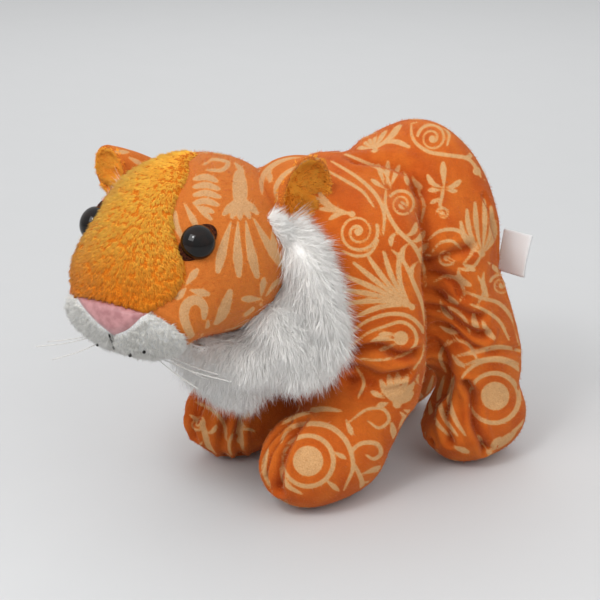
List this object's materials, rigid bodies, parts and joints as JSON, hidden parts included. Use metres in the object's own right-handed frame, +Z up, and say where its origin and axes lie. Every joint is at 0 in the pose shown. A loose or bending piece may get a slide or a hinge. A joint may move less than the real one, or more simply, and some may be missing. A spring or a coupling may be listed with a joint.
{
  "type": "plush tiger",
  "caption": "Stuffed plush tiger walking with its head low and turned, orange cloth with a scroll print, gold face panel, white ruff and muzzle, glossy eyes, stub paws and a hanging tail",
  "frame": {"origin": "middle of the bounding box, on the floor under the paws", "axes": "+Z up, the nose towards -Y, the tiger's left side towards +X"},
  "size_m": [0.135, 0.2502, 0.1638],
  "materials": {
    "print": "short pile knit, orange with a paler scroll print",
    "gold": "soft gold plush, brushed down the face",
    "short_white": "short white pile",
    "long_white": "long white fur",
    "satin": "pink satin",
    "felt": "brown felt",
    "eye": "black, high gloss",
    "nylon": "clear white nylon line",
    "tape": "plain white woven tape"
  },
  "bodies": {
    "tiger": {"torso": "print", "head": "print", "front_leg_left": "print", "front_leg_right": "print", "hind_leg_left": "print", "hind_leg_right": "print", "front_paw_left": "print", "front_paw_right": "print", "hind_paw_left": "print", "hind_paw_right": "print", "face_blaze": "gold", "muzzle": "short_white", "nose": "satin", "eye_left": "eye", "eye_right": "eye", "eye_backing_left": "felt", "eye_backing_right": "felt", "ear_left": "print", "ear_right": "print", "ear_lining_left": "gold", "ear_lining_right": "gold", "bib": "long_white", "ruff_left": "long_white", "ruff_right": "long_white", "whisker_left_1": "nylon", "whisker_left_2": "nylon", "whisker_left_3": "nylon", "whisker_left_4": "nylon", "whisker_right_1": "nylon", "whisker_right_2": "nylon", "whisker_right_3": "nylon"},
    "tail": {"tail": "print"},
    "label": {"label": "tape"}
  },
  "joints": [
    {"name": "tail_lift", "type": "hinge", "parent": "tiger", "child": "tail", "pos_m": [-0.01681, 0.10591, 0.12556], "axis": [1, 0, 0], "range_deg": [0, 100]},
    {"name": "label_flap", "type": "hinge", "parent": "tiger", "child": "label", "pos_m": [0.03241, 0.09838, 0.10156], "axis": [0.1261, 0.0588, 0.9903], "range_deg": [-8, 55]}
  ]
}
